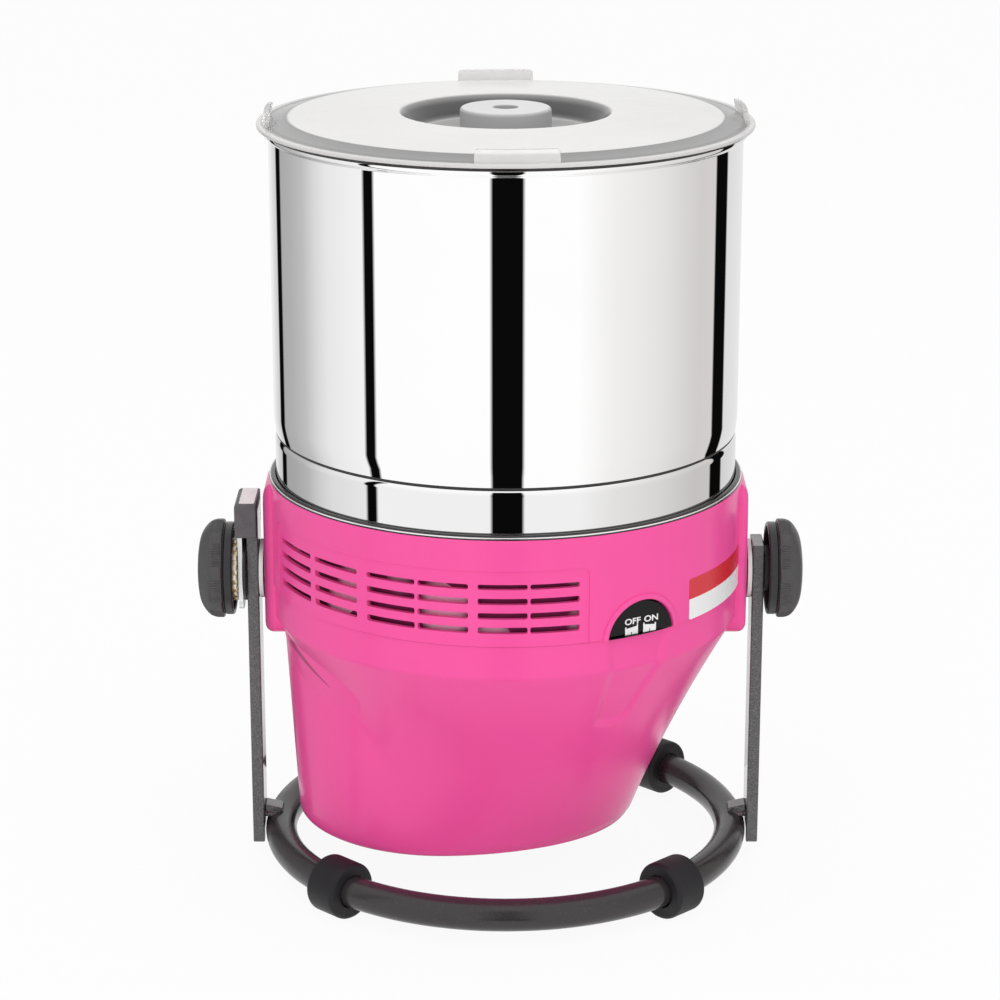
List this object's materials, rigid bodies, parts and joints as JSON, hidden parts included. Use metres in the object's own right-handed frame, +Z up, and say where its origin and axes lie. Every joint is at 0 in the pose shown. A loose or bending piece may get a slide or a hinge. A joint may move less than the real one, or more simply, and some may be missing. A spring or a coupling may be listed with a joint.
{
  "type": "wet grinder",
  "caption": "Countertop wet grinder: a mirror steel drum with a lid and conical roller stones, turned by a belt in a pink tilting housing hung in a black tube ring stand.",
  "frame": {"origin": "middle of the whole machine's footprint on the surface it stands on; the drum's axis stands 2.1 mm to its right", "axes": "+Z up along the drum, +X to the machine's right along the tilt axis, the switch side faces -Y"},
  "size_m": [0.309, 0.25, 0.3921],
  "materials": {
    "housing_plastic": "glossy pink moulding",
    "mirror_steel": "mirror-polished stainless sheet",
    "turned_steel": "turned steel",
    "powder_coat": "black textured powder coat",
    "foot_rubber": "matt black rubber",
    "black_plastic": "satin black moulding",
    "clear_lid": "clear, faintly grey moulding",
    "grey_plastic": "satin light grey moulding",
    "zinc_plate": "bright zinc plated steel",
    "yellow_zinc": "yellow passivated plating",
    "granite": "dressed black granite",
    "white_nylon": "natural nylon",
    "cast_aluminium": "machined casting",
    "motor_iron": "grey motor frame",
    "bronze": "sintered bronze",
    "belt_rubber": "matt black belt rubber"
  },
  "bodies": {
    "stand": {"base_ring": "powder_coat", "foot_front_left": "foot_rubber", "foot_front_right": "foot_rubber", "foot_rear_left": "foot_rubber", "foot_rear_right": "foot_rubber", "upright_left": "powder_coat", "upright_right": "powder_coat", "weld_tab_left": "powder_coat", "weld_tab_right": "powder_coat", "thrust_washer": "black_plastic"},
    "lock_slider": {"lock_cap": "black_plastic", "lock_plate": "zinc_plate"},
    "housing": {"upper_housing": "housing_plastic", "lower_housing": "housing_plastic", "bottom_cover": "black_plastic", "cover_screw_1": "zinc_plate", "cover_screw_2": "zinc_plate", "cover_screw_3": "zinc_plate", "cover_screw_4": "zinc_plate", "pivot_bolt_left": "zinc_plate", "pivot_bolt_right": "zinc_plate", "ear_washer_left": "white_nylon", "ear_washer_right": "white_nylon", "index_disc": "yellow_zinc", "chassis_plate": "zinc_plate", "drum_spindle": "turned_steel", "motor_casing": "motor_iron", "run_capacitor": "cast_aluminium", "switch_body": "black_plastic", "cord_gland": "black_plastic", "drive_belt": "belt_rubber", "stone_holder": "white_nylon", "roller_axle_1": "turned_steel", "roller_axle_2": "turned_steel", "roller_axle_3": "turned_steel", "holder_nut": "black_plastic"},
    "drum": {"drum_shell": "mirror_steel", "base_stone": "granite", "centre_tube": "mirror_steel", "drum_pulley": "cast_aluminium", "drive_plate": "cast_aluminium", "lower_bush": "bronze", "upper_bush": "bronze"},
    "motor_rotor": {"motor_shaft": "turned_steel", "motor_pulley": "cast_aluminium", "motor_fan": "white_nylon"},
    "roller_1": {"roller_stone_1": "granite", "roller_bush_1": "white_nylon"},
    "roller_2": {"roller_stone_2": "granite", "roller_bush_2": "white_nylon"},
    "roller_3": {"roller_stone_3": "granite", "roller_bush_3": "white_nylon"},
    "lid": {"lid_shell": "clear_lid", "lid_knob": "grey_plastic", "lid_knob_screw": "zinc_plate"},
    "left_knob": {"knob_left": "black_plastic"},
    "right_knob": {"knob_right": "black_plastic"},
    "rocker": {"switch_rocker": "black_plastic"}
  },
  "joints": [
    {"name": "tilt", "type": "hinge", "parent": "stand", "child": "housing", "pos_m": [0.0021, 0, 0.154], "axis": [1, 0, 0], "range_deg": [0, 90]},
    {"name": "lock_slide", "type": "slide", "parent": "stand", "child": "lock_slider", "axis": [0, 0, 1], "range_m": [0, 0.004]},
    {"name": "drum_spin", "type": "hinge", "parent": "housing", "child": "drum", "pos_m": [0.0021, 0, 0.154], "axis": [0, 0, 1], "continuous": true},
    {"name": "motor_spin", "type": "hinge", "parent": "housing", "child": "motor_rotor", "pos_m": [-0.0559, 0, 0.154], "axis": [0, 0, 1], "continuous": true},
    {"name": "roller_1_spin", "type": "hinge", "parent": "housing", "child": "roller_1", "pos_m": [0.0021, 0, 0.208], "axis": [0, 0.9063, 0.4226], "continuous": true},
    {"name": "roller_2_spin", "type": "hinge", "parent": "housing", "child": "roller_2", "pos_m": [0.0021, 0, 0.208], "axis": [-0.7849, -0.4532, 0.4226], "continuous": true},
    {"name": "roller_3_spin", "type": "hinge", "parent": "housing", "child": "roller_3", "pos_m": [0.0021, 0, 0.208], "axis": [0.7849, -0.4532, 0.4226], "continuous": true},
    {"name": "lid_lift", "type": "slide", "parent": "drum", "child": "lid", "axis": [0, 0, 1], "range_m": [0, 0.15]},
    {"name": "left_knob_turn", "type": "hinge", "parent": "housing", "child": "left_knob", "pos_m": [-0.1292, 0, 0.154], "axis": [-1, 0, 0], "range_deg": [0, 720]},
    {"name": "right_knob_turn", "type": "hinge", "parent": "housing", "child": "right_knob", "pos_m": [0.1334, 0, 0.154], "axis": [1, 0, 0], "range_deg": [0, 720]},
    {"name": "switch_rock", "type": "hinge", "parent": "housing", "child": "rocker", "pos_m": [0.06397, -0.09348, 0.1525], "axis": [0, 0, 1], "range_deg": [0, 8]}
  ],
  "couplings": [
    {"joint": "motor_spin", "follows": "drum_spin", "ratio": 6.5714},
    {"joint": "roller_1_spin", "follows": "drum_spin", "ratio": 2.3662},
    {"joint": "roller_2_spin", "follows": "drum_spin", "ratio": 2.3662},
    {"joint": "roller_3_spin", "follows": "drum_spin", "ratio": 2.3662}
  ]
}
